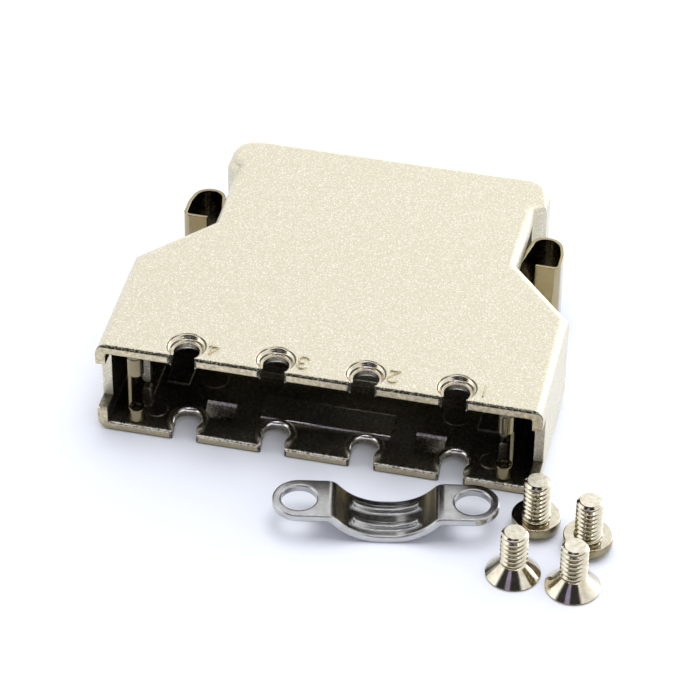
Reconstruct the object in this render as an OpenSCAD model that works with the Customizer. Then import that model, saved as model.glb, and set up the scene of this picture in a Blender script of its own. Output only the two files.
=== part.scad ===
// Metal hood for a cable connector: two cast shells with notched mouth edges, two spring latches
// with finger loops, and the saddle clamp and screws that belong to it, lying loose at the mouth.
// Millimetres. The origin is the middle of the hood's underside, +Y points to the cable end, +Z up.

/* [Hood] */
// Width of the hood at its mouth
hood_width = 50; // [47:0.5:56]
// Depth from the mouth to the cable end
hood_depth = 41.4; // [40:0.2:48]
// Height of the closed hood
hood_height = 12.1; // [11.5:0.1:16]
// Height of the seam between the two shells
seam_height = 2.95; // [2.6:0.05:3.6]
// Length of the straight sides behind the mouth
side_length = 16.8; // [14:0.2:18]
// Length of the sloping shoulders, front to back
shoulder_length = 8.2; // [7:0.2:9]
// Width of the neck behind the shoulders
neck_width = 35.5; // [33:0.5:37]
// How far the head stands out beside the neck
head_step = 1.3; // [0.4:0.1:2]
// Length over which the neck widens into the head
head_slope = 0.85; // [0.5:0.05:1.5]
// Length of the head at its full width
head_length = 5.2; // [4.4:0.1:6]

/* [Walls] */
// Thickness of the roof
roof_thickness = 1.2; // [0.9:0.05:1.5]
// Thickness of the floor
floor_thickness = 1.1; // [0.9:0.05:1.4]
// Thickness of the side walls
side_wall = 1.1; // [0.8:0.05:1.4]
// Thickness of the rear wall
rear_wall = 1.6; // [1.2:0.1:2.2]
// Radius of the roof's outer edges
roof_radius = 1.2; // [0.5:0.1:1.7]
// Radius of the floor's outer edges
floor_radius = 1.6; // [0.5:0.1:1.8]
// Radius of the rear corners, seen from above
rear_radius = 3; // [1.9:0.1:4]

/* [Mouth] */
// Number of notches along each mouth edge
notch_count = 4; // [2:1:4]
// Distance between neighbouring notches
notch_pitch = 10.1; // [8:0.1:11]
// Distance from the mouth edge to the centre of a notch
notch_inset = 2.2; // [1.8:0.1:2.8]
// Diameter of the round end of a notch
notch_diameter = 2.9; // [2.8:0.1:3.2]
// Width of the slot that leads into a notch
slot_width = 2.7; // [2:0.1:2.8]
// Diameter of the dish round a notch, at the outer surface
dish_diameter = 4.5; // [4.4:0.1:5.4]
// Depth of the dish
dish_depth = 0.8; // [0.4:0.1:1]
// Height of the raised rim round a notch, on the inside
rim_height = 0.6; // [0.3:0.05:0.9]
// Width of the raised rim round a notch
rim_width = 0.9; // [0.7:0.1:1.2]
// Depth of the window in each side wall at the mouth
side_window_depth = 2.5; // [1.6:0.1:3]
// Height of the lip that hangs from the roof over the window
lip_height = 2.6; // [2:0.1:4]

/* [Latches] */
// Thickness of the spring sheet
sheet_thickness = 0.4; // [0.3:0.05:0.5]
// Distance of the hinge axis from the outside of the hood
hinge_from_side = 4.15; // [3.8:0.05:5]
// Distance of the hinge axis from the mouth
hinge_inset = 1.4; // [1.3:0.1:2]
// Outer diameter of the rolled collars
collar_diameter = 1.85; // [1.7:0.05:2.2]
// Height of the lower collar
lower_collar_height = 1.7; // [1.2:0.1:2.5]
// Height of the upper collar
upper_collar_height = 2.4; // [1.2:0.1:3]
// Radial clearance between a collar and the boss inside it
boss_clearance = 0.06; // [0.03:0.01:0.1]
// Clearance between the latch strip and the shoulder wall
shoulder_clearance = 0.6; // [0.3:0.1:1]
// Angle at which the strip leaves the neck
exit_angle = 12; // [8:1:14]
// Width of the finger loop, across the hood
loop_width = 3.45; // [3:0.05:4.5]
// Length of the finger loop, along the hood
loop_length = 5.15; // [4.6:0.05:6]

/* [Fasteners] */
// Diameter of the screws' thread
screw_diameter = 3; // [2.5:0.1:3]
// Length of the clamp screws under their heads
clamp_screw_length = 5; // [4:0.5:6]
// Diameter of the clamp screws' pan heads
pan_head_diameter = 5.4; // [5:0.1:6]
// Height of the pan heads
pan_head_height = 1.9; // [1.5:0.1:2.2]
// Overall length of the countersunk shell screws
shell_screw_length = 6; // [5:0.5:7]
// Diameter of the countersunk heads
flat_head_diameter = 6; // [5.4:0.1:6.4]
// Diameter of the cable opening in the rear wall
cable_diameter = 9.2; // [7:0.1:9.4]

/* [Clamp] */
// Distance between the clamp's two holes
clamp_spacing = 18.8; // [17.6:0.1:20]
// Width of the clamp strap
clamp_width = 5.8; // [5:0.1:6.4]
// Thickness of the clamp strap
clamp_thickness = 0.9; // [0.7:0.05:1.1]
// Diameter of the clamp's holes
clamp_hole = 3.9; // [3.2:0.1:4.2]
// Depth of the saddle below the ears
saddle_depth = 2.8; // [2.4:0.1:3.6]
// Height of the grip ribs in the saddle
grip_height = 0.45; // [0.2:0.05:0.8]

/* [Hidden] */
$fn = 64;

CAST_NICKEL = "#d8d0bc";
SPRING_NICKEL = "#cfc09a";
BRIGHT_NICKEL = "#b9b4a8";
ROUND_STEPS = 10;
EDGE_ANGLE = 4;
CORNER_STEPS = 6;
EAR_STEPS = 24;
OVERCUT = 1;

// Plan of the hood, measured from the middle of the mouth
half_width = hood_width / 2;
neck_half = neck_width / 2;
head_half = neck_half + head_step;
shoulder_end = side_length + shoulder_length;
head_start = hood_depth - head_length;
neck_end = head_start - head_slope;
flank_start_point = [neck_half, neck_end];
flank_end_point = [head_half, head_start];
shoulder_start_point = [half_width, side_length];
shoulder_end_point = [neck_half, shoulder_end];
shoulder = shoulder_end_point - shoulder_start_point;
shoulder_run = shoulder / norm(shoulder);
shoulder_out = [shoulder_run[1], -shoulder_run[0]];
ceiling = hood_height - roof_thickness;
upper_wall = hood_height - seam_height;
seam_gap = 0.04;

// The sloping edges are a little rounder than the straight ones
slope_rounding = 0.1;

// The wide part runs on into the neck, which hides its far end
blend_length = 5;
inner_end = shoulder_end + blend_length;
wall_start_point = shoulder_start_point - side_wall * shoulder_out;
wall_bend_point = crossing(wall_start_point, shoulder_run, [half_width - side_wall, 0], [0, 1]);
wall_end_point = crossing(wall_start_point, shoulder_run, [neck_half - side_wall, 0], [0, 1]);
cavity_side = [
    [half_width - side_wall, -OVERCUT],
    wall_bend_point,
    wall_end_point,
    [neck_half - side_wall, hood_depth - rear_wall]
];

// Mouth features
mouth_rounding = 0.3;
mouth_run_out = 0.1;
ring_width = 0.2;
rim_rounding = 0.8 * rim_height;
slot_round = 0.4;
ramp_from_notch = 1.9;
ramp_x = notch_pitch + ramp_from_notch;
ramp_width = 3.4;
ramp_start = 3.3;
ramp_length = 2.1;
ramp_height = 0.8;
pad_width = 14.8;
pad_start = 4.5;
pad_length = 3.65;
pad_height = 0.3;
rib_start = 11.6;
rib_thickness = 1.05;
rib_length = 28;
rib_height = 0.8;
ledge_x = 16.6;
ledge_width = 2.6;
ledge_start = 8.2;
ledge_length = 4;
ledge_height = 0.25;
mark_height = 0.1;
mark_spacing = 13.95;
mark_y = 9.85;
mark_radius = 1.5;
hinge_mark_offset = [-1.75, 2];
hinge_mark_radius = 1.25;
rail_from_hinge = 0.8;
rail_start = 5.4;
rail_length = 8;
rail_width = 0.4;
rail_height = 0.25;

// Latch: collar, strip and loop as the middle line of the sheet, for the right-hand side
hinge_x = half_width - hinge_from_side;
hinge = [hinge_x, hinge_inset];
collar_bore = collar_diameter / 2 - sheet_thickness;
strip_x = hinge_x + collar_diameter / 2 - sheet_thickness / 2;
collar_gap = 0.1;
strip_margin = 0.65;
window_margin = 0.3;
window_overlap = 1.3;
boss_height = 1.3;
slit_width = 0.15;
slit_turn = 50;
loop_start = 0.8;
loop_from_head = 2.8;
loop_leaf = 2.7;
loop_rear = neck_end - loop_from_head;
exit_way = [sin(exit_angle), cos(exit_angle)];
loop_corner = [neck_half + loop_start, loop_rear];
loop_slant = 0.6;
loop_round = 0.52 * loop_width;
corner_round = 0.43 * loop_width;
strip_bend = 2.5;
exit_bend = 1.5;
side_bend = 4;
leaf_bend = 0.6;
shoulder_line = shoulder_start_point
    - (side_wall + shoulder_clearance + sheet_thickness / 2) * shoulder_out;
shoulder_bend = crossing(shoulder_line, shoulder_run, [strip_x, 0], [0, 1]);
neck_bend = crossing(shoulder_line, shoulder_run, loop_corner, exit_way);
latch_path = [
    [strip_x, hinge_inset],
    shoulder_bend,
    neck_bend,
    loop_corner,
    loop_corner + [loop_width - loop_slant, 0],
    loop_corner + [loop_width, -loop_length / 2],
    loop_corner + [loop_width, -loop_length],
    loop_corner + [loop_width - loop_leaf, -loop_length]
];
latch_bends = [0, strip_bend, exit_bend, corner_round, loop_round, side_bend, leaf_bend, 0];
strip_bottom = floor_thickness + strip_margin;
strip_top = ceiling - strip_margin;
seat_height = ceiling - strip_top - collar_gap;
neck_window_front = shoulder_end - window_overlap;
neck_window_rear = neck_end - window_overlap;

// Guide tabs beside the strip
tab_thickness = 1;
tab_depth = 1;
tab_from_hinge = 2.3;
tab_clearance = 0.55;
lower_tab_height = 2.7;
upper_tab_height = 6.3;

// Screw bosses inside the hood
screw_clearance = 0.1;
tap_ratio = 0.84;
tapped_radius = tap_ratio * screw_diameter / 2;
clearance_radius = screw_diameter / 2 + screw_clearance;
countersink_radius = flat_head_diameter / 2 + screw_clearance;
shell_screw_from_wall = 3.65;
shell_screw_from_shoulder = 4.5;
shell_screw_x = neck_half - side_wall - shell_screw_from_wall;
shell_screw_y = shoulder_end + shell_screw_from_shoulder;
seat_pad_radius = 2.7;
seat_pad_top = 2.6;
shell_boss_radius = 2.3;
shell_boss_depth = 5;
clamp_boss_radius = 2.4;
clamp_boss_top = 5.5;
clamp_play = 0.4;
clamp_boss_y = hood_depth - rear_wall - clamp_width / 2 - clamp_play;
cable_z = hood_height / 2;
cable_radius = cable_diameter / 2;
tongue_cover = 2.6;
tongue_half = cable_radius + tongue_cover;
cable_chamfer = 0.4;

// Clamp strap: half lengths of the saddle at its top and on its floor, bend radii and grip ribs
saddle_top_half = 5.9;
saddle_floor_half = 3.3;
ear_bend = 1;
saddle_bend = 6.4;
grip_spacing = 2.6;
grip_width = 0.8;
grip_length = 7;

// Screw details
recess_share = 0.5;
recess_arm_share = 0.22;
recess_depth = 1.2;
pan_rounding = 0.6 * pan_head_height;
flat_head_rim = 0.2;
tip_chamfer = 0.35;

// Loose pieces: the clamp is measured from the middle of the mouth, the screws from its right end
clamp_place = [9.64, -8.2];
clamp_turn = 10.9;
mouth_end = [half_width, 0];
clamp_screw_places = [[0.6, -4.8], [6.6, -6.6]];
shell_screw_places = [[-0.5, -12.4], [6.1, -13]];

// Point where the line through p along u meets the line through q along v
function crossing(p, u, q, v) =
    p + u * ((q[0] - p[0]) * v[1] - (q[1] - p[1]) * v[0]) / (u[0] * v[1] - u[1] * v[0]);

function arc(centre, radius, from, to, steps = ROUND_STEPS) =
    [
        for (i = [0 : steps])
            let (angle = from + (to - from) * i / steps)
            centre + radius * [cos(angle), sin(angle)]
    ];

function heading(a, b) = atan2(b[1] - a[1], b[0] - a[0]);

function left_of(a, b) = [-sin(heading(a, b)), cos(heading(a, b))];

function turn(a, b, c) =
    let (t = heading(b, c) - heading(a, b))
    t > 180 ? t - 360 : t < -180 ? t + 360 : t;

// One bend of a bent sheet, at the given distance to the left of its middle line
function bend(a, b, c, radius, left) =
    let (t = turn(a, b, c))
    let (side = sign(t))
    let (start = b - radius * tan(abs(t) / 2) * [cos(heading(a, b)), sin(heading(a, b))])
    let (centre = start + side * radius * left_of(a, b))
    arc(centre, radius - side * left, heading(a, b) - side * 90, heading(a, b) - side * 90 + t);

// A line parallel to a bent path, at the given distance to its left
function parallel(path, bends, left) =
    let (last = len(path) - 1)
    concat(
        [path[0] + left * left_of(path[0], path[1])],
        [for (i = [1 : last - 1]) each bend(path[i - 1], path[i], path[i + 1], bends[i], left)],
        [path[last] + left * left_of(path[last - 1], path[last])]
    );

function backwards(points) = [for (i = [len(points) - 1 : -1 : 0]) points[i]];

function sheet_outline(path, bends, left, right) =
    concat(parallel(path, bends, left), backwards(parallel(path, bends, -right)));

// Moves a shape that is measured from the mouth into the hood's own frame
module in_place() {
    translate([0, -hood_depth / 2, 0]) children();
}

module both_sides() {
    children();
    mirror([1, 0, 0]) children();
}

// Everything in front of the mouth
module before_mouth() {
    translate([-hood_width, -hood_depth, -OVERCUT])
        cube([2 * hood_width, hood_depth, hood_height + 2 * OVERCUT]);
}

// Section through the edge of a plate: x points outwards, the rounded corner is at the top
// and its arc runs into both faces at a slight angle
module edge_section(width, radius, height) {
    inset = radius * cos(EDGE_ANGLE);
    difference() {
        square([width, height]);
        translate([width - inset, height - inset]) difference() {
            square(radius + OVERCUT);
            circle(radius);
        }
    }
}

// Cut that rounds the upper edge of a plate at the mouth, from -half to half
module mouth_edge_cut(half, height) {
    inset = mouth_rounding * cos(EDGE_ANGLE);
    translate([-half, 0, 0]) rotate([90, 0, 90]) linear_extrude(2 * half)
        translate([inset, height - inset]) mirror([1, 0]) difference() {
            square(mouth_rounding + OVERCUT);
            circle(mouth_rounding);
        }
}

// Bar along y whose section has two round upper edges
module round_bar(half, front, rear, radius, height) {
    translate([0, rear, 0]) rotate([90, 0, 0]) linear_extrude(rear - front) {
        edge_section(half, radius, height);
        mirror([1, 0, 0]) edge_section(half, radius, height);
    }
}

// Everything to the left of the line from start to end, with a round upper edge along it
module inside_line(start, end, radius, height) {
    reach = 2 * hood_width;
    translate(start) rotate(heading(start, end) - 90)
        translate([-reach, reach / 2, 0]) rotate([90, 0, 0])
        linear_extrude(reach) edge_section(reach, radius, height);
}

// Rectangular plate with round corners in plan and a round upper edge
module rounded_plate(half, front, rear, corner_radius, edge_radius, height) {
    round_bar(half, front + corner_radius, rear - corner_radius, edge_radius, height);
    flat_half = half - corner_radius;
    for (y = [front, rear]) {
        outwards = y == rear ? 0 : 180;
        corner_y = y == rear ? rear - corner_radius : front + corner_radius;
        translate([0, corner_y, 0]) rotate(outwards) {
            translate([-flat_half, 0, 0]) rotate([90, 0, 90])
                linear_extrude(2 * flat_half) edge_section(corner_radius, edge_radius, height);
            translate([flat_half, 0, 0])
                rotate_extrude(angle = 90) edge_section(corner_radius, edge_radius, height);
            translate([-flat_half, 0, 0]) rotate(90)
                rotate_extrude(angle = 90) edge_section(corner_radius, edge_radius, height);
        }
    }
}

// Outer form of one shell, standing on its seam with its outer face up
module shell_form(edge_radius, height) {
    slope_radius = edge_radius + slope_rounding;
    difference() {
        intersection() {
            round_bar(half_width, 0, inner_end, edge_radius, height);
            inside_line(shoulder_start_point, shoulder_end_point, slope_radius, height);
            mirror([1, 0, 0])
                inside_line(shoulder_start_point, shoulder_end_point, slope_radius, height);
        }
        mouth_edge_cut(hood_width, height);
    }
    round_bar(neck_half, side_length - blend_length, head_start + OVERCUT / 2, edge_radius, height);
    intersection() {
        rounded_plate(head_half, neck_end - 2 * rear_radius, hood_depth, rear_radius, edge_radius, height);
        inside_line(flank_start_point, flank_end_point, slope_radius, height);
        mirror([1, 0, 0]) inside_line(flank_start_point, flank_end_point, slope_radius, height);
    }
}

module cavity() {
    translate([0, 0, floor_thickness]) linear_extrude(ceiling - floor_thickness) {
        polygon(concat(cavity_side, [for (point = backwards(cavity_side)) [-point[0], point[1]]]));
    }
}

module at_notches() {
    for (i = [0 : notch_count - 1]) {
        translate([(i - (notch_count - 1) / 2) * notch_pitch, notch_inset, 0]) children();
    }
}

// Raised rim round a notch, standing on z = 0
module notch_rim() {
    rim_radius = notch_diameter / 2 + rim_width;
    translate([0, 0, -OVERCUT / 2])
        rotate_extrude() edge_section(rim_radius, rim_rounding, rim_height + OVERCUT / 2);
}

// Notch with its dish and the flat ring inside it, cut downwards from an outer face at z = 0
module notch_cut(depth) {
    hole_radius = notch_diameter / 2;
    ring_radius = hole_radius + ring_width;
    dish_radius = dish_diameter / 2;
    slot_half = slot_width / 2;
    spread = (dish_radius - ring_radius) / dish_depth;
    translate([0, 0, -depth]) cylinder(h = depth + OVERCUT, r = hole_radius);
    translate([0, 0, -dish_depth])
        cylinder(h = dish_depth + OVERCUT, r1 = ring_radius, r2 = dish_radius + spread * OVERCUT);
    translate([0, -notch_inset, -depth]) linear_extrude(depth + OVERCUT) polygon(concat(
        [[-slot_half - slot_round, -OVERCUT]],
        arc([-slot_half - slot_round, slot_round], slot_round, -90, 0, CORNER_STEPS),
        [[-slot_half, notch_inset], [slot_half, notch_inset]],
        arc([slot_half + slot_round, slot_round], slot_round, 180, 270, CORNER_STEPS),
        [[slot_half + slot_round, -OVERCUT]]
    ));
}

// Snap ramp for the connector's flange: it rises to the rear and drops off, standing on z = 0
module snap_ramp() {
    translate([-ramp_width / 2, ramp_start, 0]) rotate([90, 0, 90])
        linear_extrude(ramp_width) polygon([
            [0, -OVERCUT / 2],
            [0, 0],
            [ramp_length, ramp_height],
            [ramp_length, -OVERCUT / 2]
        ]);
}

// Guide tab with a round end, standing on z = 0
module guide_tab(height) {
    half = tab_thickness / 2;
    tab_x = strip_x - sheet_thickness / 2 - tab_clearance - half;
    tab_rear = hinge_inset + tab_from_hinge + tab_depth;
    translate([tab_x, tab_rear, 0])
        rotate([90, 0, 0]) linear_extrude(tab_depth) polygon(concat(
            [[-half, -OVERCUT / 2], [half, -OVERCUT / 2]],
            arc([0, height - half], half, 0, 180)
        ));
}

module cable_hole() {
    chamfer_depth = OVERCUT + cable_chamfer;
    translate([0, hood_depth + OVERCUT, cable_z]) rotate([90, 0, 0]) {
        cylinder(h = rear_wall + 2 * OVERCUT, r = cable_radius);
        cylinder(h = chamfer_depth, r1 = cable_radius + chamfer_depth, r2 = cable_radius);
    }
}

// Window in the side wall at the mouth, under the roof's lip
module side_window() {
    height = upper_wall - lip_height;
    translate([half_width - side_wall - OVERCUT / 2, -OVERCUT, seam_height - OVERCUT])
        cube([side_wall + 2 * OVERCUT, side_window_depth + OVERCUT, height + OVERCUT]);
}

module neck_window() {
    bottom = strip_bottom - window_margin;
    top = strip_top + window_margin;
    translate([neck_half - side_wall - OVERCUT / 2, neck_window_front, bottom])
        cube([side_wall + 2 * OVERCUT, neck_window_rear - neck_window_front, top - bottom]);
}

module rear_tongue(gap) {
    translate([-tongue_half - gap, hood_depth - rear_wall, seam_height - OVERCUT])
        cube([2 * (tongue_half + gap), rear_wall, cable_z - seam_height + OVERCUT + gap]);
}

// Low block rooted in the floor, whose inner face is z = 0
module floor_block(corner, width, length, height) {
    translate([corner[0], corner[1], -OVERCUT / 2]) cube([width, length, height + OVERCUT / 2]);
}

module floor_mark(centre, radius) {
    translate([centre[0], centre[1], -OVERCUT / 2]) cylinder(h = mark_height + OVERCUT / 2, r = radius);
}

module lower_floor_detail() {
    floor_block([-pad_width / 2, pad_start], pad_width, pad_length, pad_height);
    floor_block([-rib_length / 2, rib_start], rib_length, rib_thickness, rib_height);
    floor_mark([0, mark_y], mark_radius);
    both_sides() {
        floor_mark([mark_spacing, mark_y], mark_radius);
        floor_mark(hinge + hinge_mark_offset, hinge_mark_radius);
        floor_block([ledge_x, ledge_start], ledge_width, ledge_length, ledge_height);
        floor_block([hinge_x - rail_from_hinge, rail_start], rail_width, rail_length, rail_height);
    }
}

module lower_fittings() {
    translate([0, 0, floor_thickness]) {
        at_notches() notch_rim();
        lower_floor_detail();
        both_sides() {
            translate([ramp_x, 0, 0]) snap_ramp();
            guide_tab(lower_tab_height);
            translate([hinge[0], hinge[1], -OVERCUT / 2])
                cylinder(h = boss_height + OVERCUT / 2, r = collar_bore - boss_clearance);
        }
    }
    both_sides() {
        translate([shell_screw_x, shell_screw_y, floor_thickness / 2])
            cylinder(h = seat_pad_top - floor_thickness / 2, r = seat_pad_radius);
        translate([clamp_spacing / 2, clamp_boss_y, floor_thickness / 2])
            cylinder(h = clamp_boss_top - floor_thickness / 2, r = clamp_boss_radius);
    }
}

module lower_shell() {
    color(CAST_NICKEL) in_place() difference() {
        union() {
            difference() {
                translate([0, 0, seam_height]) mirror([0, 0, 1]) shell_form(floor_radius, seam_height);
                cavity();
                mouth_edge_cut(half_width - side_wall - mouth_run_out, floor_thickness);
            }
            lower_fittings();
            rear_tongue(0);
        }
        mirror([0, 0, 1]) at_notches() notch_cut(floor_thickness + rim_height + OVERCUT);
        before_mouth();
        both_sides() {
            neck_window();
            translate([shell_screw_x, shell_screw_y, -OVERCUT]) {
                cylinder(h = seat_pad_top + 2 * OVERCUT, r = clearance_radius);
                cylinder(h = OVERCUT + countersink_radius - clearance_radius,
                    r1 = countersink_radius + OVERCUT, r2 = clearance_radius);
            }
            translate([clamp_spacing / 2, clamp_boss_y, floor_thickness])
                cylinder(h = clamp_boss_top, r = tapped_radius);
        }
        cable_hole();
    }
}

module upper_fittings() {
    translate([0, 0, ceiling]) mirror([0, 0, 1]) {
        at_notches() notch_rim();
        both_sides() {
            translate([ramp_x, 0, 0]) snap_ramp();
            guide_tab(upper_tab_height);
            translate([hinge[0], hinge[1], -OVERCUT / 2]) {
                cylinder(h = seat_height + boss_height + OVERCUT / 2, r = collar_bore - boss_clearance);
                cylinder(h = seat_height + OVERCUT / 2, d = collar_diameter);
            }
        }
    }
    both_sides() translate([shell_screw_x, shell_screw_y, seat_pad_top + seam_gap])
        cylinder(h = ceiling - seat_pad_top, r = shell_boss_radius);
}

module upper_shell() {
    color(CAST_NICKEL) in_place() difference() {
        union() {
            difference() {
                translate([0, 0, seam_height + seam_gap]) shell_form(roof_radius, upper_wall - seam_gap);
                cavity();
                translate([0, 0, ceiling]) mirror([0, 0, 1])
                    mouth_edge_cut(half_width - side_wall - mouth_run_out, 0);
            }
            upper_fittings();
        }
        translate([0, 0, hood_height]) at_notches() notch_cut(roof_thickness + rim_height + OVERCUT);
        before_mouth();
        both_sides() {
            neck_window();
            side_window();
            translate([shell_screw_x, shell_screw_y, seat_pad_top - OVERCUT])
                cylinder(h = shell_boss_depth + OVERCUT, r = tapped_radius);
        }
        rear_tongue(seam_gap);
        cable_hole();
    }
}

// Right-hand latch: two rolled collars, the strip behind them and the finger loop
module latch() {
    translate([0, 0, strip_bottom]) linear_extrude(strip_top - strip_bottom)
        polygon(sheet_outline(latch_path, latch_bends, sheet_thickness / 2, sheet_thickness / 2));
    translate([hinge[0], hinge[1], floor_thickness + collar_gap]) collar(lower_collar_height);
    translate([hinge[0], hinge[1], strip_top - upper_collar_height]) collar(upper_collar_height);
}

// Rolled collar round z, with the slit where the rolled edge stops short of the strip
module collar(height) {
    difference() {
        cylinder(h = height, d = collar_diameter);
        translate([0, 0, -OVERCUT]) cylinder(h = height + 2 * OVERCUT, r = collar_bore);
        rotate(slit_turn) translate([0, -slit_width / 2, -OVERCUT])
            cube([collar_diameter, slit_width, height + 2 * OVERCUT]);
    }
}

module right_latch() {
    color(SPRING_NICKEL) in_place() latch();
}

module left_latch() {
    color(SPRING_NICKEL) in_place() mirror([1, 0, 0]) latch();
}

// Saddle strap lying on the bottom of its bowl, ears up, along X
module cable_clamp() {
    ear_radius = clamp_width / 2;
    end = clamp_spacing / 2 + ear_radius;
    ear_z = saddle_depth + clamp_thickness / 2;
    base_z = clamp_thickness / 2;
    path = [
        [-end, ear_z],
        [-saddle_top_half, ear_z],
        [-saddle_floor_half, base_z],
        [saddle_floor_half, base_z],
        [saddle_top_half, ear_z],
        [end, ear_z]
    ];
    bends = [0, ear_bend, saddle_bend, saddle_bend, ear_bend, 0];
    color(BRIGHT_NICKEL) in_place() translate(clamp_place) rotate(clamp_turn) difference() {
        union() {
            intersection() {
                translate([0, ear_radius, 0]) rotate([90, 0, 0]) linear_extrude(clamp_width)
                    polygon(sheet_outline(path, bends, clamp_thickness / 2, clamp_thickness / 2));
                translate([0, 0, -OVERCUT]) linear_extrude(saddle_depth + clamp_thickness + 2 * OVERCUT)
                    polygon(concat(
                        arc([clamp_spacing / 2, 0], ear_radius, -90, 90, EAR_STEPS),
                        arc([-clamp_spacing / 2, 0], ear_radius, 90, 270, EAR_STEPS)
                    ));
            }
            for (side = [-1, 1]) {
                intersection() {
                    translate([0, (side * grip_spacing + grip_width) / 2, 0]) rotate([90, 0, 0])
                        linear_extrude(grip_width)
                        polygon(sheet_outline(path, bends, clamp_thickness / 2 + grip_height, 0));
                    translate([-grip_length / 2, -clamp_width, 0])
                        cube([grip_length, 2 * clamp_width, saddle_depth]);
                }
            }
        }
        for (side = [-1, 1]) {
            translate([side * clamp_spacing / 2, 0, -OVERCUT])
                cylinder(h = saddle_depth + clamp_thickness + 2 * OVERCUT, d = clamp_hole);
        }
    }
}

// Cross recess in a screw head whose outer face lies on z = 0
module cross_recess(head_diameter) {
    width = recess_share * head_diameter;
    arm = recess_arm_share * width;
    for (angle = [0, 90]) {
        rotate(angle) translate([-width / 2, -arm / 2, -OVERCUT])
            cube([width, arm, recess_depth + OVERCUT]);
    }
}

// Pan head screw standing on its head
module pan_screw() {
    head_radius = pan_head_diameter / 2;
    thread_radius = screw_diameter / 2;
    top = pan_head_height + clamp_screw_length;
    difference() {
        rotate_extrude() polygon(concat(
            [[0, 0]],
            arc([head_radius - pan_rounding, pan_rounding], pan_rounding, -90, 0),
            [
                [head_radius, pan_head_height],
                [thread_radius, pan_head_height],
                [thread_radius, top - tip_chamfer],
                [thread_radius - tip_chamfer, top],
                [0, top]
            ]
        ));
        cross_recess(pan_head_diameter);
    }
}

// Countersunk screw standing on its flat head
module countersunk_screw() {
    head_radius = flat_head_diameter / 2;
    thread_radius = screw_diameter / 2;
    difference() {
        rotate_extrude() polygon([
            [0, 0],
            [head_radius, 0],
            [head_radius, flat_head_rim],
            [thread_radius, flat_head_rim + head_radius - thread_radius],
            [thread_radius, shell_screw_length - tip_chamfer],
            [thread_radius - tip_chamfer, shell_screw_length],
            [0, shell_screw_length]
        ]);
        cross_recess(flat_head_diameter);
    }
}

module clamp_screws() {
    color(BRIGHT_NICKEL) in_place() {
        for (place = clamp_screw_places) {
            translate(mouth_end + place) pan_screw();
        }
    }
}

module shell_screws() {
    color(BRIGHT_NICKEL) in_place() {
        for (place = shell_screw_places) {
            translate(mouth_end + place) countersunk_screw();
        }
    }
}

lower_shell();
upper_shell();
left_latch();
right_latch();
cable_clamp();
clamp_screws();
shell_screws();
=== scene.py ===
"""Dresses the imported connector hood: plated finishes, softened edges, threads and raised numbers."""
import math

import bmesh
import bpy
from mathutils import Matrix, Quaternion, Vector


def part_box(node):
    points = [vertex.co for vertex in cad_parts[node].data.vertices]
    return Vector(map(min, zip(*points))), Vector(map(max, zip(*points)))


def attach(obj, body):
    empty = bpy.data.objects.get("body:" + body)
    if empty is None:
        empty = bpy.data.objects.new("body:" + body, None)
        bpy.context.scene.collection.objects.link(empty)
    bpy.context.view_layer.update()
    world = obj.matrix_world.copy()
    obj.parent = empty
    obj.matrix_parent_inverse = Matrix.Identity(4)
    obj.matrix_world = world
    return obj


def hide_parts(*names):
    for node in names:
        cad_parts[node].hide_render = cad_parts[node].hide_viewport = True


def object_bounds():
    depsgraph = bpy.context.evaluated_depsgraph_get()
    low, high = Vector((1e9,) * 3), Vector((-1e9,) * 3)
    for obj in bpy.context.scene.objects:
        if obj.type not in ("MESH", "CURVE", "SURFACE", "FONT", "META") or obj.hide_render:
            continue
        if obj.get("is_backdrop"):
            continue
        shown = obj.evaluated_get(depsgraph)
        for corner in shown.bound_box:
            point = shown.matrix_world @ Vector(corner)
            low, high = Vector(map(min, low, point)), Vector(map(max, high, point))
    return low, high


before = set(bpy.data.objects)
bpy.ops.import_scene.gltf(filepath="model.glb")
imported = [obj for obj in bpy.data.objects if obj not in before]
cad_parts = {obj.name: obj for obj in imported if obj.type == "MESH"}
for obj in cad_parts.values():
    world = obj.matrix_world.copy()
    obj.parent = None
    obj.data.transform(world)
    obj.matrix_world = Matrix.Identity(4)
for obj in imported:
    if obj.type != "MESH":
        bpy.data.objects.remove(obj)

cad_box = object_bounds()
MM = 0.001

# Places on the hood, in metres, read from the imported CAD parts
ROOF_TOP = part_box("upper_shell")[1].z
MOUTH_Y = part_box("upper_shell")[0].y
REAR_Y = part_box("upper_shell")[1].y
HALF_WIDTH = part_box("upper_shell")[1].x

# Sizes that the finishes depend on, in metres, with lengths counted from the mouth
SIDE_LENGTH = 16.8 * MM
SHOULDER_LENGTH = 8.2 * MM
NECK_HALF = 17.75 * MM
ROOF_THICKNESS = 1.2 * MM
FLOOR_THICKNESS = 1.1 * MM
REAR_WALL = 1.6 * MM
WALL_MARGIN = 0.7 * MM
NOTCH_PITCH = 10.1 * MM
NOTCH_INSET = 2.2 * MM
NOTCH_COUNT = 4
NOTCH_PLACES = [(i - (NOTCH_COUNT - 1) / 2) * NOTCH_PITCH for i in range(NOTCH_COUNT)]
DISH_RADIUS = 2.25 * MM
RIM_RADIUS = 2.35 * MM
RIM_HEIGHT = 0.6 * MM
PAD_START = 4.5 * MM
PAD_HEIGHT = 0.3 * MM
RAMP_X = 12 * MM
RAMP_WIDTH = 3.4 * MM
RAMP_START = 3.3 * MM
RAMP_END = 5.4 * MM
RAMP_HEIGHT = 0.8 * MM
COLLAR_END = 2.5 * MM
LOOP_CENTRE = (20.3 * MM, 30 * MM)
MOUTH_ROUNDING = 0.3 * MM

# Tolerances: how far a point may lie from the surface it belongs to, and which vertices are one
SKIN = 0.05 * MM
WELD = 0.002 * MM

# Limits between upright, leaning and level faces, as the share of a face's normal along an axis
UPRIGHT = 0.05
SLOPING = 0.3
STEEP = 0.5
FACING = 0.95
LEVEL = 0.99

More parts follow.
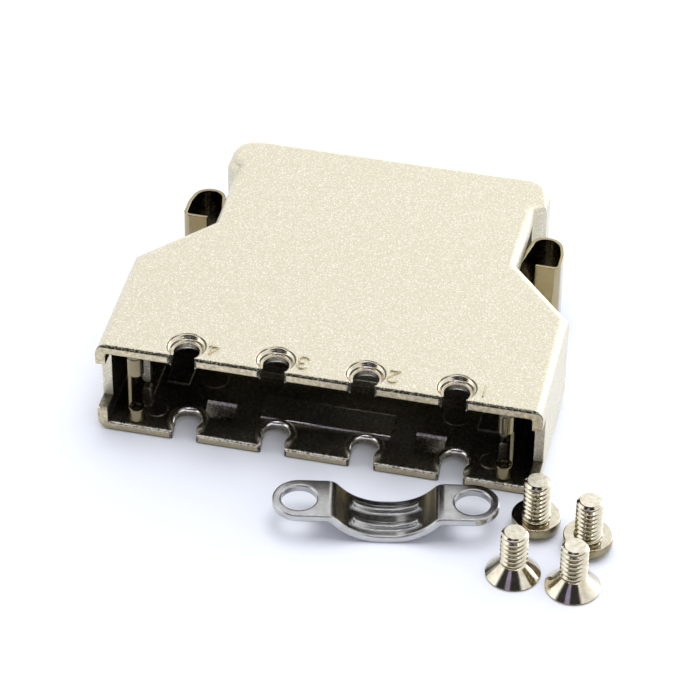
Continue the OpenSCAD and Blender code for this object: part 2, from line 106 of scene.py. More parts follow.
# Rounding of edges
CAST_ROUNDING = 0.15 * MM
INNER_ROUNDING = 0.2 * MM
DISH_ROUNDING = 0.2 * MM
LATCH_ROUNDING = 0.06 * MM
CLAMP_ROUNDING = 0.15 * MM
CLAMP_SOFTNESS = 0.35 * MM
SCREW_ROUNDING = 0.1 * MM
ROUNDING_SEGMENTS = 2
ROUNDING_SAMPLES = 6
CREST_ROUNDING = 0.4 * MM
CREST_SEGMENTS = 4
PAD_ROUNDING = 0.2 * MM
PAD_CUTS = 12
SHARP = math.radians(35)
SCREW_SHARP = math.radians(80)
FLAT = math.radians(0.5)
FLAT_WEIGHT = 100

# Order of the materials of a shell, of a latch and of a screw
CAST, INNER, POLISHED, EDGE, PAINTED_HIGHLIGHT, SHADED_RAMP = range(6)
PLAIN, SHADED, COLLAR = range(3)
BRIGHT, SCREW_SHADE, CUT = range(3)

# Values of the materials
NOISE_LOW = 0.3
NOISE_HIGH = 0.7
# Width of the band along the mouth's edge where a dark reflection and a highlight are painted
EDGE_BAND = 0.5 * MM
RAMP_LIP = 0.4 * MM
RAMP_LIP_RISE = 0.18 * MM
RING_SPACING = 0.36 * MM
CAST_METALLIC = 0.75
# Darkening of the collars inside the mouth: painted shade
COLLAR_SHADE = 0.66

# Raised numbers beside the notches, which are read from the cable end
NUMBER_HEIGHT = 1.9 * MM
NUMBER_WIDTH = 1.1 * MM
NUMBER_OFFSET = 3.0 * MM
NUMBER_INSET = 2.3 * MM
STROKE_WIDTH = 0.24 * MM
STROKE_RISE = 0.16 * MM
STROKE_TOP = 0.5
STROKE_CORNER = 0.5
STROKES = {
    1: [(0, 0), (0, 1)],
    2: [(-0.5, 0.75), (-0.35, 0.94), (0, 1), (0.35, 0.94), (0.5, 0.74), (0.35, 0.5), (-0.5, 0), (0.5, 0)],
    3: [(-0.5, 0.85), (-0.2, 1), (0.2, 1), (0.48, 0.8), (0.36, 0.6), (0, 0.53),
        (0.4, 0.44), (0.5, 0.22), (0.22, 0), (-0.2, 0), (-0.5, 0.15)],
    4: [(0.25, 0), (0.25, 1), (-0.5, 0.32), (0.5, 0.32)],
}

# Screws, with the thread's profile as shares of its pitch and of its depth
THREAD_RADIUS = 1.5 * MM
THREAD_DEPTH = 0.28 * MM
THREAD_PITCH = 0.6 * MM
THREAD_PROFILE = [(0.0, 0.0), (0.14, 0.0), (0.44, 1.0), (0.70, 1.0)]
TIP_CHAMFER = 0.35 * MM
PAN_HEAD_TOP = 1.9 * MM
FLAT_HEAD_TOP = 1.7 * MM
STEPS_PER_TURN = 40

# Studio, with the tent's greys from opposite the bright panel to the panel itself
FLOOR_SIZE = 4
PANEL_DIRECTION = (0.5, 0.87, -0.6)
TENT_GREYS = [
    (0.05, 0.38), (0.2, 0.31), (0.4, 0.23), (0.55, 0.26),
    (0.62, 0.29), (0.72, 0.315), (0.8, 0.42), (0.9, 0.9),
]
TENT_TINT = (0.97, 0.98, 1)
TENT_STRENGTH = 4.0
OPENING_DIRECTION = (-0.1, -0.72, 0.68)
OPENING_STRENGTH = 0.1
OPENING_EDGE = (0.7, 0.8)
GLINT_VIOLET = (0.66, 0.58, 1.0)

# Camera, fitted to the hood's edges in the photograph
CAMERA_PLACE = Vector((63.07, -299.18, 256.33)) * MM
CAMERA_AZIMUTH = math.radians(12.04)
CAMERA_ELEVATION = math.radians(40.05)
CAMERA_ROLL = math.radians(0.854)
CAMERA_LENS = 177.86
CAMERA_SENSOR = 36.0
CAMERA_NEAR = 0.01
CAMERA_FAR = 20


# Node helpers

def new_material(name):
    """New node material, its node tree and its shader."""
    material = bpy.data.materials.new(name)
    material.use_nodes = True
    return material, material.node_tree, material.node_tree.nodes["Principled BSDF"]


def plate(tree, shader, colour, roughness, normal=None, metallic=1):
    """Makes a shader a metal with the given colour, roughness and normal."""
    tree.links.new(colour, shader.inputs["Base Color"])
    tree.links.new(roughness, shader.inputs["Roughness"])
    if normal is not None:
        tree.links.new(normal, shader.inputs["Normal"])
    shader.inputs["Metallic"].default_value = metallic


def noise(tree, size, detail=2.0):
    """Noise over the object's own coordinates, with blobs of about the given size."""
    node = tree.nodes.new("ShaderNodeTexNoise")
    node.inputs["Scale"].default_value = 1 / size
    node.inputs["Detail"].default_value = detail
    place = tree.nodes.new("ShaderNodeTexCoord")
    tree.links.new(place.outputs["Object"], node.inputs["Vector"])
    return node.outputs["Fac"]


def spread(tree, value, low, high, start=NOISE_LOW, end=NOISE_HIGH):
    """Maps a value between start and end, or a noise value, onto the range from low to high."""
    node = tree.nodes.new("ShaderNodeMapRange")
    node.inputs["From Min"].default_value = start
    node.inputs["From Max"].default_value = end
    node.inputs["To Min"].default_value = low
    node.inputs["To Max"].default_value = high
    tree.links.new(value, node.inputs["Value"])
    return node.outputs["Result"]


def ramp(tree, value, *stops):
    """Colour that runs through the stops, each a position and a colour, with a value."""
    node = tree.nodes.new("ShaderNodeValToRGB")
    elements = node.color_ramp.elements
    for i, (position, colour) in enumerate(stops):
        element = elements[i] if i < len(elements) else elements.new(position)
        element.position = position
        element.color = (*colour, 1)
    tree.links.new(value, node.inputs["Fac"])
    return node.outputs["Color"]


def tint(tree, value, dark, light):
    """Colour that runs from dark to light with a noise value."""
    return ramp(tree, value, (NOISE_LOW, dark), (NOISE_HIGH, light))


def rounded(tree, radius):
    """Normal that turns smoothly over the sharp edges, as if they were rounded by the radius."""
    node = tree.nodes.new("ShaderNodeBevel")
    node.samples = ROUNDING_SAMPLES
    node.inputs["Radius"].default_value = radius
    return node.outputs["Normal"]


def coordinate(tree, axis):
    """One of the object's own coordinates."""
    place = tree.nodes.new("ShaderNodeSeparateXYZ")
    tree.links.new(tree.nodes.new("ShaderNodeTexCoord").outputs["Object"], place.inputs["Vector"])
    return place.outputs[axis]


def along(tree, vector, axis):
    """Length of a vector along an axis."""
    node = tree.nodes.new("ShaderNodeVectorMath")
    node.operation = "DOT_PRODUCT"
    node.inputs[1].default_value = axis
    tree.links.new(vector, node.inputs[0])
    return node.outputs["Value"]


def arithmetic(tree, operation, *values):
    """Result of a calculation with values that are numbers or sockets."""
    node = tree.nodes.new("ShaderNodeMath")
    node.operation = operation
    for value, socket in zip(values, node.inputs):
        if isinstance(value, (int, float)):
            socket.default_value = value
        else:
            tree.links.new(value, socket)
    return node.outputs["Value"]


def near_mouth(tree, value, amount):
    """Adds an amount to a noise value in a narrow band along the mouth's edge."""
    start, end = MOUTH_Y + EDGE_BAND / 2, MOUTH_Y + EDGE_BAND
    band = spread(tree, coordinate(tree, "Y"), amount, 0, start, end)
    return arithmetic(tree, "ADD", value, band)


def rings(tree, spacing):
    """Wave that runs outwards from the middle of each notch, with the given spacing."""
    across = arithmetic(tree, "WRAP", coordinate(tree, "X"), NOTCH_PITCH, 0)
    across = arithmetic(tree, "SUBTRACT", across, NOTCH_PITCH / 2)
    inwards = arithmetic(tree, "SUBTRACT", coordinate(tree, "Y"), MOUTH_Y + NOTCH_INSET)
    squares = [arithmetic(tree, "MULTIPLY", value, value) for value in (across, inwards)]
    distance = arithmetic(tree, "SQRT", arithmetic(tree, "ADD", *squares))
    return arithmetic(tree, "SINE", arithmetic(tree, "MULTIPLY", distance, 2 * math.pi / spacing))


def bump(tree, value, strength, height, under=None):
    """Normal that follows a value as a height, over the normal under it."""
    node = tree.nodes.new("ShaderNodeBump")
    node.inputs["Strength"].default_value = strength
    node.inputs["Distance"].default_value = height
    tree.links.new(value, node.inputs["Height"])
    if under is not None:
        tree.links.new(under, node.inputs["Normal"])
    return node.outputs["Normal"]


# Materials

def cast_nickel():
    """Satin plate over a sandy casting: warm grey with a fine sparkling grain, and a painted dark
    reflection in a band along the mouth.
    """
    material, tree, shader = new_material("cast_nickel")
    # Painted reflection: near the mouth's edge the grain is pushed towards near black
    grain = near_mouth(tree, noise(tree, 0.15 * MM), -0.46)
    colour = ramp(
        tree, grain,
        (0.05, (0.02, 0.018, 0.015)), (0.3, (0.635, 0.588, 0.447)),
        (0.56, (0.70, 0.652, 0.507)), (0.69, (0.95, 0.92, 0.83)),
    )
    roughness = spread(tree, noise(tree, 0.8 * MM), 0.37, 0.42)
    coarse = bump(tree, noise(tree, 0.5 * MM), 0.3, 0.03 * MM, under=rounded(tree, CAST_ROUNDING))
    fine = bump(tree, noise(tree, 0.15 * MM, detail=3), 0.5, 0.02 * MM, under=coarse)
    plate(tree, shader, colour, roughness, fine, CAST_METALLIC)
    return material


def edge_nickel():
    """Duller plate on the sawn end faces around the mouth, with painted shade making it darker towards the
    underside.
    """
    material, tree, shader = new_material("edge_nickel")
    # Painted shade: the grain is pushed dark towards the underside
    shade = spread(tree, coordinate(tree, "Z"), -0.5, 0, 0, FLOOR_THICKNESS)
    grain = arithmetic(tree, "ADD", noise(tree, 0.45 * MM), shade)
    colour = tint(tree, grain, (0.42, 0.36, 0.24), (0.76, 0.675, 0.47))
    roughness = spread(tree, noise(tree, 1.5 * MM), 0.35, 0.5)
    pits = bump(tree, noise(tree, 0.25 * MM), 0.4, 0.03 * MM, under=rounded(tree, CAST_ROUNDING))
    plate(tree, shader, colour, roughness, pits)
    return material


def shaded_inner_nickel():
    """Sandy plate on the inside of the castings, darkened with painted shade, with a painted highlight in a
    band along the mouth.
    """
    material, tree, shader = new_material("shaded_inner_nickel")
    # Painted highlight: near the mouth's edge the grain is pushed bright
    grain = near_mouth(tree, noise(tree, 0.3 * MM), 0.3)
    # Painted shade: darker colours than the cast plate outside
    colour = ramp(
        tree, grain,
        (0.3, (0.17, 0.155, 0.12)), (0.68, (0.33, 0.305, 0.24)), (0.85, (0.9, 0.87, 0.78)),
    )
    roughness = spread(tree, noise(tree, 2.5 * MM), 0.3, 0.42)
    sand = bump(tree, noise(tree, 0.25 * MM), 0.3, 0.02 * MM, under=rounded(tree, INNER_ROUNDING))
    plate(tree, shader, colour, roughness, sand)
    return material


def ramp_nickel():
    """Plate on the ramps behind the notches, with painted shade towards the floor and a painted highlight
    along their upper edge, where a bump raises a lip.
    """
    material, tree, shader = new_material("ramp_nickel")
    top = FLOOR_THICKNESS + RAMP_HEIGHT
    # Painted shade and highlight: the grain is pushed dark near the floor and bright near the ramp's top
    height = spread(tree, coordinate(tree, "Z"), -0.25, 0.15, FLOOR_THICKNESS, top)
    grain = arithmetic(tree, "ADD", noise(tree, 0.25 * MM), height)
    colour = ramp(
        tree, grain,
        (0.2, (0.17, 0.155, 0.12)), (0.5, (0.6, 0.555, 0.47)), (0.75, (1, 0.97, 0.9)),
    )
    roughness = spread(tree, noise(tree, 0.8 * MM), 0.28, 0.4)
    end = MOUTH_Y + RAMP_END
    lip = spread(tree, coordinate(tree, "Y"), 0, 1, end - RAMP_LIP, end)
    raised = bump(tree, lip, 1, RAMP_LIP_RISE, under=rounded(tree, INNER_ROUNDING))
    sand = bump(tree, noise(tree, 0.25 * MM), 0.5, 0.04 * MM, under=raised)
    plate(tree, shader, colour, roughness, sand)
    return material


def polished_nickel():
    """Bright plate in the turned dishes of the notches."""
    material, tree, shader = new_material("polished_nickel")
    colour = tint(tree, noise(tree, 0.6 * MM), (0.60, 0.535, 0.40), (0.78, 0.725, 0.60))
    roughness = spread(tree, noise(tree, 0.2 * MM), 0.1, 0.18)
    turned = bump(tree, rings(tree, RING_SPACING), 1, 0.03 * MM, under=rounded(tree, DISH_ROUNDING))
    plate(tree, shader, colour, roughness, turned)
    return material


def highlight_nickel():
    """Smooth plate on the crests round the notches and the front edge of the floor's pad, painted pale as a
    highlight.
    """
    material, tree, shader = new_material("highlight_nickel")
    # Painted highlight: much paler than the plate beside it
    colour = tint(tree, noise(tree, 0.5 * MM), (0.80, 0.77, 0.72), (1, 0.98, 0.95))
    roughness = spread(tree, noise(tree, 0.2 * MM), 0.16, 0.28)
    plate(tree, shader, colour, roughness, bump(tree, noise(tree, 0.3 * MM), 0.1, 0.02 * MM))
    return material


def spring_nickel(name, shade=1):
    """Warm, bright plate on rolled spring sheet, darkened by the shade factor, which paints shade where it
    is below 1.
    """
    material, tree, shader = new_material(name)
    dark = (0.36 * shade, 0.30 * shade, 0.175 * shade)
    light = (0.44 * shade, 0.375 * shade, 0.23 * shade)
    colour = tint(tree, noise(tree, 4 * MM), dark, light)
    roughness = spread(tree, noise(tree, 0.5 * MM), 0.1, 0.18)
    plate(tree, shader, colour, roughness, bump(tree, noise(tree, 0.3 * MM), 0.05, 0.02 * MM))
    return material


def shaded_spring():
    """Dull plate inside the finger loops, darkened with painted shade."""
    material, tree, shader = new_material("shaded_spring")
    colour = tint(tree, noise(tree, 2 * MM), (0.06, 0.05, 0.03), (0.12, 0.10, 0.06))
    plate(tree, shader, colour, spread(tree, noise(tree, 0.5 * MM), 0.2, 0.3))
    return material


def bright_nickel():
    """Bright plate with softened edges, a slight orange peel and fine handling marks."""
    material, tree, shader = new_material("bright_nickel")
    colour = tint(tree, noise(tree, 1.5 * MM), (0.44, 0.435, 0.43), (0.56, 0.555, 0.55))
    roughness = spread(tree, noise(tree, 0.3 * MM, detail=4), 0.14, 0.26)
    peel = bump(tree, noise(tree, 0.5 * MM), 0.08, 0.03 * MM, under=rounded(tree, CLAMP_SOFTNESS))
    plate(tree, shader, colour, roughness, peel)
    return material


def screw_nickel():
    """Bright, warm plate on the screws' heads and on the crests of their threads."""
    material, tree, shader = new_material("screw_nickel")
    colour = tint(tree, noise(tree, 0.8 * MM), (0.66, 0.60, 0.46), (0.80, 0.745, 0.61))
    roughness = spread(tree, noise(tree, 0.25 * MM, detail=4), 0.08, 0.16)
    plate(tree, shader, colour, roughness, bump(tree, noise(tree, 0.3 * MM), 0.03, 0.02 * MM))
    return material


def screw_shade_nickel():
    """Dark, brownish plate with painted shade at the bottom of the screws' threads and round their heads.
    """
    material, tree, shader = new_material("screw_shade_nickel")
    colour = tint(tree, noise(tree, 0.8 * MM), (0.20, 0.165, 0.09), (0.34, 0.285, 0.17))
    plate(tree, shader, colour, spread(tree, noise(tree, 0.25 * MM), 0.1, 0.2))
    return material


def cut_nickel():
    """Satin plate on the cut tips of the screws."""
    material, tree, shader = new_material("cut_nickel")
    scratches = noise(tree, 0.5 * MM, detail=4)
    colour = tint(tree, scratches, (0.66, 0.61, 0.47), (0.92, 0.87, 0.74))
    roughness = spread(tree, noise(tree, 0.6 * MM), 0.35, 0.5)
    plate(tree, shader, colour, roughness, bump(tree, scratches, 0.15, 0.03 * MM))
    return material


def floor_paper():
    """Matt, very pale bluish paper with barely visible clouds."""
    material, tree, shader = new_material("floor_paper")
    colour = tint(tree, noise(tree, 40 * MM), (0.81, 0.838, 0.925), (0.83, 0.855, 0.935))
    tree.links.new(colour, shader.inputs["Base Color"])
    shader.inputs["Roughness"].default_value = 0.9
    shader.inputs["Specular IOR Level"].default_value = 0.1
    return material


# Places on the shells and latches

def outer_half_width(y):
    """Half of the hood's outer width at a distance y behind its mouth."""
    share = min(max((y - SIDE_LENGTH) / SHOULDER_LENGTH, 0), 1)
    return HALF_WIDTH + share * (NECK_HALF - HALF_WIDTH)


def is_floor_edge(face, point):
    """Is a face on the rounded inner edge of the floor at the mouth?"""
    at_floor = FLOOR_THICKNESS - MOUTH_ROUNDING < point.z < FLOOR_THICKNESS
    return at_floor and point.y < MOUTH_Y + MOUTH_ROUNDING and face.normal.z > UPRIGHT


def is_inside(point):
    """Is a point of a shell's surface on the inside of the hood?"""
    y = point.y - MOUTH_Y
    return (
        SKIN < y < REAR_Y - MOUTH_Y - REAR_WALL / 2
        and FLOOR_THICKNESS - SKIN < point.z < ROOF_TOP - ROOF_THICKNESS + SKIN
        and abs(point.x) < outer_half_width(y) - WALL_MARGIN
    )


def from_notch(point):
    """Distance from a point to the axis of the nearest notch."""
    return min(math.hypot(point.x - x, point.y - MOUTH_Y - NOTCH_INSET) for x in NOTCH_PLACES)


def above_plate(z):
    """Height of a point above the inner face of the nearer plate, floor or roof."""
    return min(z - FLOOR_THICKNESS, ROOF_TOP - ROOF_THICKNESS - z)


def is_at_notch(point):
    """Is a point in the dish or hole of one of the notches?"""
    in_dish = from_notch(point) < DISH_RADIUS - SKIN and above_plate(point.z) < -SKIN
    return in_dish and point.y > MOUTH_Y + SKIN


def is_on_rim(point):
    """Is a point on the raised rim round a notch?"""
    in_height = SKIN < above_plate(point.z) < RIM_HEIGHT + SKIN
    return from_notch(point) < RIM_RADIUS + SKIN and in_height


def is_on_ramp(face, point):
    """Is a face on the slope of one of the ramps behind the notches?"""
    in_length = RAMP_START < point.y - MOUTH_Y < RAMP_END + SKIN
    in_width = abs(abs(point.x) - RAMP_X) < RAMP_WIDTH / 2 + SKIN
    in_height = SKIN < above_plate(point.z) < RAMP_HEIGHT + SKIN
    return in_length and in_width and in_height and abs(face.normal.z) > SLOPING


def is_pad_edge(face, point):
    """Is a face on the rounded front edge of the floor's pad?"""
    at_front = abs(point.y - MOUTH_Y - PAD_START) < PAD_ROUNDING + SKIN
    return at_front and 0 < above_plate(point.z) < PAD_HEIGHT and UPRIGHT < face.normal.z < LEVEL


def step_height(edge):
    """Height above the floor or roof of an edge between an upright face and a level one, or None."""
    steepness = sorted(abs(face.normal.z) for face in edge.link_faces)
    is_step = steepness[0] < UPRIGHT and steepness[-1] > LEVEL
    return above_plate(edge.verts[0].co.z) if is_step else None


def is_rim_crest(edge):
    """Is an edge the inner crest of a notch's rim?"""
    height = step_height(edge)
    middle = (edge.verts[0].co + edge.verts[1].co) / 2
    return height is not None and abs(height - RIM_HEIGHT) < SKIN and from_notch(middle) < RIM_RADIUS


def is_pad_front(edge):
    """Is an edge the front edge of the floor's pad?"""
    height = step_height(edge)
    at_front = all(abs(vert.co.y - MOUTH_Y - PAD_START) < SKIN for vert in edge.verts)
    return height is not None and abs(height - PAD_HEIGHT) < SKIN and at_front


def shell_finish(face):
    """Index of the finish of a shell's face."""
    point = face.calc_center_median()
    tilt = abs(face.normal.z)
    if face.normal.y < -FACING and abs(point.y - MOUTH_Y) < SKIN:
        return EDGE
    if is_at_notch(point) and tilt > UPRIGHT:
        return POLISHED
    if is_on_rim(point) and UPRIGHT < tilt < LEVEL:
        # Rim faces turned to the hole take the painted highlight, the others the inside plate
        faces_hole = from_notch(point + SKIN * face.normal) < from_notch(point)
        return PAINTED_HIGHLIGHT if faces_hole else INNER
    if is_at_notch(point) or is_on_rim(point) or is_floor_edge(face, point):
        return INNER
    # The pad's front edge takes the painted highlight
    if is_pad_edge(face, point):
        return PAINTED_HIGHLIGHT
    # Ramp slopes take the painted shade and highlight
    if is_on_ramp(face, point):
        return SHADED_RAMP
    # Faces inside the hood take the plate darkened with painted shade
    return INNER if is_inside(point) else CAST


def latch_finish(face):
    """Index of the finish of a latch's face, with painted shade inside the finger loop and on the collars.
    """
    point = face.calc_center_median()
    y = point.y - MOUTH_Y
    # The collars inside the mouth take the copy darkened with painted shade
    if y < COLLAR_END:
        return COLLAR
    to_centre = Vector((math.copysign(LOOP_CENTRE[0], point.x) - point.x, LOOP_CENTRE[1] - y, 0))
    # Faces inside the finger loop that turn to its centre take painted shade
    in_loop = y > SIDE_LENGTH + SHOULDER_LENGTH and abs(point.x) > NECK_HALF
    faces_centre = abs(face.normal.z) < STEEP and face.normal.dot(to_centre) > 0
    return SHADED if in_loop and faces_centre else PLAIN


# Pieces

def new_object(name, data):
    """New object in the scene."""
    thing = bpy.data.objects.new(name, data)
    bpy.context.scene.collection.objects.link(thing)
    return thing


def round_edges(work, is_soft, radius, cuts=0):
    """Rounds the edges that a test picks, cut up first so that a tight end can't narrow a whole edge."""
    if cuts:
        bmesh.ops.bisect_edges(work, edges=[edge for edge in work.edges if is_soft(edge)], cuts=cuts)
    edges = [edge for edge in work.edges if is_soft(edge)]
    if edges:
        bmesh.ops.bevel(
            work, geom=edges, offset=radius, segments=CREST_SEGMENTS, profile=0.5, affect="EDGES"
        )


def soften_shell(work):
    """Rounds the inner crests of a shell's rims and the front edge of the floor's pad."""
    round_edges(work, is_rim_crest, CREST_ROUNDING)
    round_edges(work, is_pad_front, PAD_ROUNDING, cuts=PAD_CUTS)


def copied_mesh(node, materials):
    """Copy of a CAD node's mesh with its seams welded: the new mesh and a workbench with its faces."""
    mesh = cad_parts[node].data.copy()
    mesh.materials.clear()
    for material in materials:
        mesh.materials.append(material)
    normals = mesh.attributes.get("custom_normal")
    if normals:
        mesh.attributes.remove(normals)
    work = bmesh.new()
    work.from_mesh(mesh)
    bmesh.ops.remove_doubles(work, verts=work.verts, dist=WELD)
    return mesh, work


def join_flat_faces(work):
    """Joins the neighbouring faces that lie in one plane."""
    bmesh.ops.dissolve_limit(work, angle_limit=FLAT, verts=work.verts, edges=work.edges)


def stand_for(node, name, mesh, work, body, rounding, sharp):
    """Makes a piece of the worked faces, rounds its sharp edges and lets it stand for the CAD node."""
    bmesh.ops.dissolve_degenerate(work, dist=WELD, edges=work.edges)
    for face in work.faces:
        face.smooth = True
    work.to_mesh(mesh)
    work.free()
    mesh.set_sharp_from_angle(angle=SHARP)
    piece = new_object(name, mesh)
    if rounding:
        bevel = piece.modifiers.new("rounding", "BEVEL")
        bevel.width = rounding
        bevel.segments = ROUNDING_SEGMENTS
        bevel.angle_limit = sharp
        bevel.use_clamp_overlap = False
    flatten = piece.modifiers.new("flat_faces", "WEIGHTED_NORMAL")
    flatten.weight = FLAT_WEIGHT
    flatten.keep_sharp = True
    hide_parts(node)
    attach(piece, body)


def dressed_copy(node, body, materials, rounding=0, finish=None, soften=None):
    """A CAD node with its finishes, its sharp edges rounded."""
    mesh, work = copied_mesh(node, materials)
    join_flat_faces(work)
    if soften:
        soften(work)
    for face in work.faces:
        face.material_index = finish(face) if finish else 0
    stand_for(node, node + "_dressed", mesh, work, body, rounding, SHARP)


def islands(work):
    """Groups of connected vertices of a mesh, in the order of their first vertices."""
    left = set(work.verts)
    for first in work.verts:
        if first not in left:
            continue
        left.remove(first)
        group, front = set(), [first]
        while front:
            vert = front.pop()
            group.add(vert)
            others = [edge.other_vert(vert) for edge in vert.link_edges]
            fresh = [other for other in others if other in left]
            left.difference_update(fresh)
            front.extend(fresh)
        yield group


def screw_centres(work):
    """Middle of each screw of a mesh, seen from above."""
    centres = []
    for group in islands(work):
        xs = [vert.co.x for vert in group]
        ys = [vert.co.y for vert in group]
        centres.append(Vector(((min(xs) + max(xs)) / 2, (min(ys) + max(ys)) / 2, 0)))
    return centres


def cut_shanks(work, height):
    """Cuts the screws off at a height and closes their heads there."""
    geometry = [*work.verts, *work.edges, *work.faces]
    cut = bmesh.ops.bisect_plane(
        work, geom=geometry, plane_co=(0, 0, height), plane_no=(0, 0, 1), clear_outer=True
    )["geom_cut"]
    bmesh.ops.edgeloop_fill(work, edges=[part for part in cut if isinstance(part, bmesh.types.BMEdge)])


def around(centre, radius, angle, z):
    """Point at an angle on a circle about a vertical axis."""
    return centre.x + radius * math.cos(angle), centre.y + radius * math.sin(angle), z


def add_wall(work, corners, start, end, index):
    """Adds a face of a thread, unless it lies flat in the plane where the thread starts or ends."""
    heights = [corner.co.z for corner in corners]
    if min(heights) < end - WELD and max(heights) > start + WELD:
        work.faces.new(corners).material_index = index


def thread_row(work, centre, step, start, end):
    """Vertices of a thread's profile at one step of its helix, held between its start and its tip."""
    angle = 2 * math.pi * step / STEPS_PER_TURN
    row = []
    for share, deep in THREAD_PROFILE:
        z = start + THREAD_PITCH * (step / STEPS_PER_TURN + share - 1)
        z = min(max(z, start), end)
        radius = THREAD_RADIUS - deep * THREAD_DEPTH
        radius = min(radius, THREAD_RADIUS - TIP_CHAMFER + max(end - z, 0))
        row.append(work.verts.new(around(centre, radius, angle, z)))
    return row


def add_tip(work, centre, end):
    """Adds the flat tip of a screw."""
    angles = [2 * math.pi * i / STEPS_PER_TURN for i in range(STEPS_PER_TURN)]
    radius = THREAD_RADIUS - TIP_CHAMFER
    tip = [work.verts.new(around(centre, radius, angle, end)) for angle in angles]
    work.faces.new(tip).material_index = CUT


def add_thread(work, centre, start, end):
    """Adds a helical thread about a vertical axis, from start up to a chamfered flat tip at end."""
    turns = math.ceil((end - start) / THREAD_PITCH) + 1
    rows = [thread_row(work, centre, step, start, end) for step in range(turns * STEPS_PER_TURN + 1)]
    bottom = len(THREAD_PROFILE) - 2
    for i in range(len(rows) - 1):
        for j in range(len(THREAD_PROFILE) - 1):
            corners = (rows[i][j], rows[i + 1][j], rows[i + 1][j + 1], rows[i][j + 1])
            # The bottom of the thread takes painted shade
            add_wall(work, corners, start, end, SCREW_SHADE if j == bottom else BRIGHT)
        if i + STEPS_PER_TURN + 1 < len(rows):
            last, lead = rows[i:i + 2], rows[i + STEPS_PER_TURN:i + STEPS_PER_TURN + 2]
            add_wall(work, (last[0][-1], last[1][-1], lead[1][0], lead[0][0]), start, end, SCREW_SHADE)
    add_tip(work, centre, end)


def threaded_screws(node, body, materials, head_top):
    """The screws of one kind: heads from the CAD node, shanks with a cut thread and painted shade in the
    grooves.
    """
    mesh, work = copied_mesh(node, materials)
    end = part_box(node)[1].z
    centres = screw_centres(work)
    cut_shanks(work, head_top + SKIN)
    join_flat_faces(work)
    for face in work.faces:
        # The heads' flanks take painted shade
        face.material_index = SCREW_SHADE if -FACING < face.normal.z < STEEP else BRIGHT
    for centre in centres:
        add_thread(work, centre, head_top, end)
    loose = [vert for vert in work.verts if not vert.link_faces]
    bmesh.ops.delete(work, geom=loose, context="VERTS")
    bmesh.ops.remove_doubles(work, verts=work.verts, dist=WELD)
    stand_for(node, node + "_threaded", mesh, work, body, SCREW_ROUNDING, SCREW_SHARP)


def add_stroke(work, points, width, bottom, top):
    """Adds a raised line of the given width along flat points, with sides that lean in."""
    rows = []
    for i, point in enumerate(points):
        before = (point - points[i - 1]).normalized() if i > 0 else None
        after = (points[i + 1] - point).normalized() if i + 1 < len(points) else None
        heading = ((before or after) + (after or before)).normalized()
        reach = width / 2 / max(heading.dot(after or before), STROKE_CORNER)
        side = Vector((-heading.y, heading.x)) * reach
        corners = [(side, bottom), (side * STROKE_TOP, top), (side * -STROKE_TOP, top), (side * -1, bottom)]
        rows.append([work.verts.new((*(point + shift), z)) for shift, z in corners])
    for first, second in zip(rows, rows[1:]):
        for j in range(len(first)):
            k = (j + 1) % len(first)
            work.faces.new((first[j], second[j], second[k], first[k]))
    work.faces.new(rows[0])
    work.faces.new(rows[-1][::-1])


def raised_numbers(body, material):
    """Numbers on the roof, one beside each notch, highest on the left."""
    work = bmesh.new()
    y = MOUTH_Y + NUMBER_INSET + NUMBER_HEIGHT / 2
    for number, place in zip(range(NOTCH_COUNT, 0, -1), NOTCH_PLACES):
        x = place + NUMBER_OFFSET
        points = [Vector((x - u * NUMBER_WIDTH, y - v * NUMBER_HEIGHT)) for u, v in STROKES[number]]
        add_stroke(work, points, STROKE_WIDTH, ROOF_TOP - SKIN, ROOF_TOP + STROKE_RISE)
    bmesh.ops.recalc_face_normals(work, faces=work.faces)
    mesh = bpy.data.meshes.new("notch_numbers")
    mesh.materials.append(material)
    work.to_mesh(mesh)
    work.free()
    piece = new_object("notch_numbers", mesh)
    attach(piece, body)


# Stage, light and camera

def add_floor(material):
    """Wide floor under the hood."""
    bpy.ops.mesh.primitive_plane_add(size=FLOOR_SIZE, location=(0, 0, 0))
    floor = bpy.context.object
    floor.name = "floor"
    floor.data.materials.append(material)
    floor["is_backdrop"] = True


def add_softbox(name, place, width, height, power, colour=(1, 1, 1), in_metal=True):
    """Soft light that points at the hood, and is mirrored in the metal or not."""
    light = bpy.data.lights.new(name, "AREA")
    light.color = colour
    light.shape = "RECTANGLE"
    light.size = width
    light.size_y = height
    light.energy = power
    lamp = new_object(name, light)
    lamp.visible_glossy = in_metal
    lamp.location = place
    lamp.rotation_euler = (-Vector(place)).to_track_quat("-Z", "Y").to_euler()


def add_world():
    """Pale studio tent: a dark opening for the camera in front, a bright panel low behind on the right."""
    world = bpy.data.worlds.new("studio")
    bpy.context.scene.world = world
    world.use_nodes = True
    tree = world.node_tree
    background = tree.nodes["Background"]
    direction = tree.nodes.new("ShaderNodeTexCoord").outputs["Generated"]
    towards_panel = spread(tree, along(tree, direction, PANEL_DIRECTION), 0, 1, start=-1, end=1)
    stops = [(position, [share * grey for share in TENT_TINT]) for position, grey in TENT_GREYS]
    tree.links.new(ramp(tree, towards_panel, *stops), background.inputs["Color"])
    towards_opening = along(tree, direction, OPENING_DIRECTION)
    strength = spread(tree, towards_opening, TENT_STRENGTH, OPENING_STRENGTH, *OPENING_EDGE)
    tree.links.new(strength, background.inputs["Strength"])


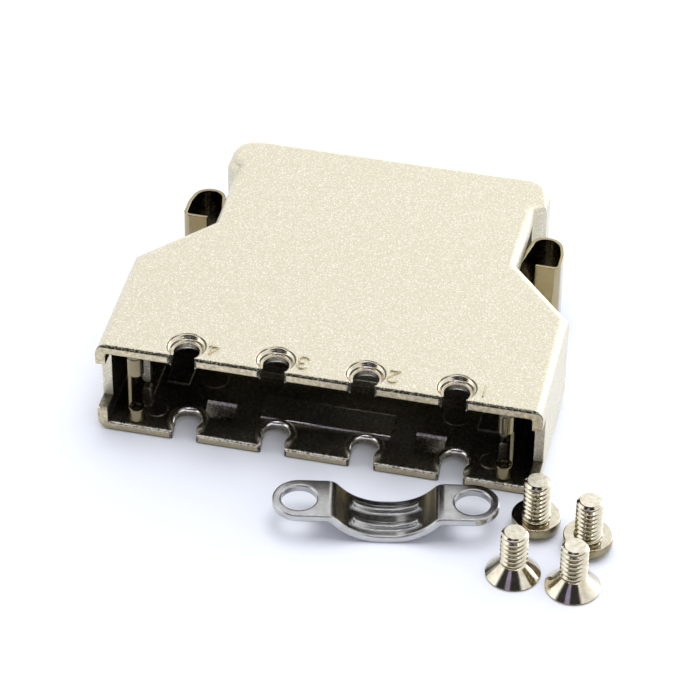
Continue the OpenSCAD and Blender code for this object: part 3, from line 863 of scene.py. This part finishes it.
def add_camera():
    """Camera that sees the hood as the photograph does."""
    view = Vector((
        -math.sin(CAMERA_AZIMUTH) * math.cos(CAMERA_ELEVATION),
        math.cos(CAMERA_AZIMUTH) * math.cos(CAMERA_ELEVATION),
        -math.sin(CAMERA_ELEVATION),
    ))
    camera = new_object("camera", bpy.data.cameras.new("camera"))
    camera.data.lens = CAMERA_LENS
    camera.data.sensor_width = CAMERA_SENSOR
    camera.data.clip_start = CAMERA_NEAR
    camera.data.clip_end = CAMERA_FAR
    camera.location = CAMERA_PLACE
    camera.rotation_mode = "QUATERNION"
    camera.rotation_quaternion = view.to_track_quat("-Z", "Y") @ Quaternion((0, 0, 1), CAMERA_ROLL)
    bpy.context.scene.camera = camera


shell_materials = [
    cast_nickel(), shaded_inner_nickel(), polished_nickel(), edge_nickel(), highlight_nickel(), ramp_nickel(),
]
latch_materials = [
    spring_nickel("spring_nickel"), shaded_spring(), spring_nickel("shaded_collar_nickel", shade=COLLAR_SHADE),
]
screw_materials = [screw_nickel(), screw_shade_nickel(), cut_nickel()]
for node in ("lower_shell", "upper_shell"):
    dressed_copy(node, "hood", shell_materials, finish=shell_finish, soften=soften_shell)
for node in ("left_latch", "right_latch"):
    dressed_copy(node, node, latch_materials, LATCH_ROUNDING, finish=latch_finish)
dressed_copy("cable_clamp", "hood", [bright_nickel()], CLAMP_ROUNDING)
threaded_screws("clamp_screws", "hood", screw_materials, PAN_HEAD_TOP)
threaded_screws("shell_screws", "hood", screw_materials, FLAT_HEAD_TOP)

raised_numbers("hood", shell_materials[EDGE])

add_floor(floor_paper())
add_world()
add_softbox("overhead", (0.1, 0.1, 0.9), width=0.6, height=0.5, power=3.2, in_metal=False)
add_softbox("top_strip", (0, -0.22, 0.9), width=0.6, height=0.1, power=0.9)
add_softbox("front_fill", (0.15, -0.5, 0.5), width=0.5, height=0.5, power=0.6, in_metal=False)
add_softbox("front_glint", (-0.07, -0.45, 0.53), width=0.18, height=0.16, power=0.06, colour=GLINT_VIOLET)
add_camera()
bpy.context.scene.view_settings.view_transform = "Standard"

boxes = {"cad": cad_box, "visual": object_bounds()}
{name: [list(corner) for corner in box] for name, box in boxes.items()}
